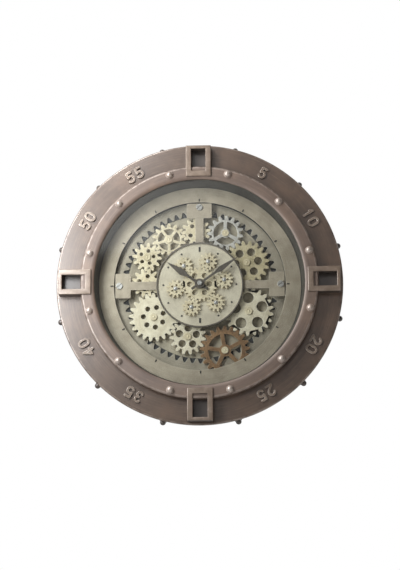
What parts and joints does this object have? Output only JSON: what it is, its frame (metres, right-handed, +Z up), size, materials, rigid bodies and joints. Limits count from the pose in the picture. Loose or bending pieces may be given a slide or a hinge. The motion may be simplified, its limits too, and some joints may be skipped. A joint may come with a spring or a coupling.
{
  "type": "mystery clock",
  "caption": "Round porthole wall clock with a numbered flange, riveted glazed bezel, strap lugs, open dial of meshing gears, planet gears round the centre and spear hands.",
  "frame": {"origin": "where the dial's axis meets the wall plane", "axes": "+Y into the wall along the dial's axis, +X to the viewer's right, +Z up to twelve o'clock"},
  "size_m": [0.5193, 0.085, 0.5194],
  "materials": {
    "bronze": "brushed antique bronze paint on steel",
    "bezel_bronze": "brushed antique bronze paint, rubbed bright on the edges",
    "pale_bronze": "rubbed pale bronze",
    "champagne": "satin champagne",
    "gear_brass": "satin pale brass",
    "gear_copper": "satin copper",
    "gear_steel": "brushed",
    "black_paint": "satin black",
    "steel": "plain",
    "glass": "clear",
    "rubber": "matte",
    "black_plastic": "moulded",
    "white_plastic": "moulded",
    "cell_jacket": "printed jacket without words",
    "lead_sleeve": "sleeving"
  },
  "bodies": {
    "clock": {"case_drum": "bronze", "hanger_plate": "steel", "outer_flange": "bronze", "rim_bolts": "pale_bronze", "bezel_ring": "bezel_bronze", "bezel_screws": "pale_bronze", "strap_lugs": "bezel_bronze", "minute_numerals": "pale_bronze", "glass_lens": "glass", "glass_gasket": "rubber", "liner_cone": "champagne", "movement_plate": "champagne", "plate_posts": "steel", "toothed_ring": "champagne", "chapter_ring": "champagne", "chapter_ticks": "black_paint", "gear_bridges": "champagne", "bridge_pillars": "steel", "bridge_screws": "steel", "centre_disc": "champagne", "hour_markers": "black_paint", "gear_posts": "steel", "gear_caps": "gear_brass", "planet_posts": "steel", "movement_case": "black_plastic", "movement_cover": "black_plastic", "stem_nut": "gear_brass", "clock_cell": "cell_jacket", "gear_motor": "steel", "motor_screws": "steel", "battery_tray": "black_plastic", "drive_cells": "cell_jacket", "motor_leads": "lead_sleeve"},
    "hour": {"hour_hand": "black_paint", "hour_tube": "gear_brass"},
    "minute": {"minute_hand": "black_paint", "minute_shaft": "steel", "hand_nut": "gear_brass"},
    "setting": {"minute_wheel": "white_plastic", "set_knob": "black_plastic"},
    "sun": {"sun_gear": "gear_brass", "centre_wheel": "gear_brass"},
    "planet_1": {"planet_gear_1": "gear_brass"},
    "planet_2": {"planet_gear_2": "gear_brass"},
    "planet_3": {"planet_gear_3": "gear_brass"},
    "planet_4": {"planet_gear_4": "gear_brass"},
    "planet_5": {"planet_gear_5": "gear_brass"},
    "planet_6": {"planet_gear_6": "gear_brass"},
    "motor_pinion_body": {"motor_pinion": "gear_steel"},
    "lower_gear_body": {"lower_gear": "gear_brass"},
    "copper_wheel_body": {"copper_wheel": "gear_copper"},
    "five_hole_gear_body": {"five_hole_gear": "gear_brass"},
    "left_lower_gear_body": {"left_lower_gear": "gear_brass"},
    "left_idler_body": {"left_idler": "gear_brass"},
    "left_upper_gear_body": {"left_upper_gear": "gear_brass"},
    "kidney_gear_body": {"kidney_gear": "gear_brass"},
    "top_idler_body": {"top_idler": "gear_brass"},
    "silver_wheel_body": {"silver_wheel": "gear_steel"},
    "olive_gear_body": {"olive_gear": "gear_brass"},
    "switch": {"switch_slider": "white_plastic"}
  },
  "joints": [
    {"name": "minute_turn", "type": "hinge", "parent": "clock", "child": "minute", "pos_m": [0, -0.054, 0], "axis": [0, 1, 0], "continuous": true},
    {"name": "hour_turn", "type": "hinge", "parent": "clock", "child": "hour", "pos_m": [0, -0.051, 0], "axis": [0, 1, 0], "continuous": true},
    {"name": "setting_turn", "type": "hinge", "parent": "clock", "child": "setting", "pos_m": [0, -0.005, 0.014], "axis": [0, 1, 0], "continuous": true},
    {"name": "left_lower_gear_turn", "type": "hinge", "parent": "clock", "child": "left_lower_gear_body", "pos_m": [-0.08454, -0.0335, -0.05768], "axis": [0, 1, 0], "continuous": true},
    {"name": "motor_pinion_turn", "type": "hinge", "parent": "clock", "child": "motor_pinion_body", "pos_m": [0, -0.0335, -0.05], "axis": [0, 1, 0], "continuous": true},
    {"name": "lower_gear_turn", "type": "hinge", "parent": "clock", "child": "lower_gear_body", "pos_m": [-0.0227, -0.0335, -0.09455], "axis": [0, 1, 0], "continuous": true},
    {"name": "copper_wheel_turn", "type": "hinge", "parent": "clock", "child": "copper_wheel_body", "pos_m": [0.04443, -0.0335, -0.12059], "axis": [0, 1, 0], "continuous": true},
    {"name": "five_hole_gear_turn", "type": "hinge", "parent": "clock", "child": "five_hole_gear_body", "pos_m": [0.08857, -0.0335, -0.04912], "axis": [0, 1, 0], "continuous": true},
    {"name": "left_idler_turn", "type": "hinge", "parent": "clock", "child": "left_idler_body", "pos_m": [-0.09827, -0.0335, 0.00688], "axis": [0, 1, 0], "continuous": true},
    {"name": "left_upper_gear_turn", "type": "hinge", "parent": "clock", "child": "left_upper_gear_body", "pos_m": [-0.09659, -0.0335, 0.05484], "axis": [0, 1, 0], "continuous": true},
    {"name": "kidney_gear_turn", "type": "hinge", "parent": "clock", "child": "kidney_gear_body", "pos_m": [-0.05618, -0.0335, 0.08757], "axis": [0, 1, 0], "continuous": true},
    {"name": "top_idler_turn", "type": "hinge", "parent": "clock", "child": "top_idler_body", "pos_m": [-0.00627, -0.0335, 0.10217], "axis": [0, 1, 0], "continuous": true},
    {"name": "silver_wheel_turn", "type": "hinge", "parent": "clock", "child": "silver_wheel_body", "pos_m": [0.0476, -0.0335, 0.0984], "axis": [0, 1, 0], "continuous": true},
    {"name": "olive_gear_turn", "type": "hinge", "parent": "clock", "child": "olive_gear_body", "pos_m": [0.08611, -0.0335, 0.04236], "axis": [0, 1, 0], "continuous": true},
    {"name": "sun_turn", "type": "hinge", "parent": "clock", "child": "sun", "pos_m": [0, -0.04, 0], "axis": [0, 1, 0], "continuous": true},
    {"name": "planet_1_turn", "type": "hinge", "parent": "clock", "child": "planet_1", "pos_m": [0.04432, -0.0465, 0.00781], "axis": [0, 1, 0], "continuous": true},
    {"name": "planet_2_turn", "type": "hinge", "parent": "clock", "child": "planet_2", "pos_m": [0.01539, -0.0465, 0.04229], "axis": [0, 1, 0], "continuous": true},
    {"name": "planet_3_turn", "type": "hinge", "parent": "clock", "child": "planet_3", "pos_m": [-0.02892, -0.0465, 0.03447], "axis": [0, 1, 0], "continuous": true},
    {"name": "planet_4_turn", "type": "hinge", "parent": "clock", "child": "planet_4", "pos_m": [-0.04432, -0.0465, -0.00781], "axis": [0, 1, 0], "continuous": true},
    {"name": "planet_5_turn", "type": "hinge", "parent": "clock", "child": "planet_5", "pos_m": [-0.01539, -0.0465, -0.04229], "axis": [0, 1, 0], "continuous": true},
    {"name": "planet_6_turn", "type": "hinge", "parent": "clock", "child": "planet_6", "pos_m": [0.02892, -0.0465, -0.03447], "axis": [0, 1, 0], "continuous": true},
    {"name": "switch_slide", "type": "slide", "parent": "clock", "child": "switch", "axis": [0, 0, 1], "range_m": [0, 0.0065]}
  ],
  "couplings": [
    {"joint": "hour_turn", "follows": "minute_turn", "ratio": 0.083333},
    {"joint": "setting_turn", "follows": "minute_turn", "ratio": -0.33333},
    {"joint": "motor_pinion_turn", "follows": "left_lower_gear_turn", "ratio": 2.1},
    {"joint": "lower_gear_turn", "follows": "left_lower_gear_turn", "ratio": -1.4},
    {"joint": "copper_wheel_turn", "follows": "left_lower_gear_turn", "ratio": 1},
    {"joint": "five_hole_gear_turn", "follows": "left_lower_gear_turn", "ratio": -1},
    {"joint": "left_idler_turn", "follows": "left_lower_gear_turn", "ratio": -1.75},
    {"joint": "left_upper_gear_turn", "follows": "left_lower_gear_turn", "ratio": 1.75},
    {"joint": "kidney_gear_turn", "follows": "left_lower_gear_turn", "ratio": -1.5},
    {"joint": "top_idler_turn", "follows": "left_lower_gear_turn", "ratio": 1.75},
    {"joint": "silver_wheel_turn", "follows": "left_lower_gear_turn", "ratio": -1.4},
    {"joint": "olive_gear_turn", "follows": "left_lower_gear_turn", "ratio": 1.1053},
    {"joint": "sun_turn", "follows": "left_lower_gear_turn", "ratio": -1.4},
    {"joint": "planet_1_turn", "follows": "left_lower_gear_turn", "ratio": 2.8},
    {"joint": "planet_2_turn", "follows": "left_lower_gear_turn", "ratio": 2.8},
    {"joint": "planet_3_turn", "follows": "left_lower_gear_turn", "ratio": 2.8},
    {"joint": "planet_4_turn", "follows": "left_lower_gear_turn", "ratio": 2.8},
    {"joint": "planet_5_turn", "follows": "left_lower_gear_turn", "ratio": 2.8},
    {"joint": "planet_6_turn", "follows": "left_lower_gear_turn", "ratio": 2.8}
  ]
}
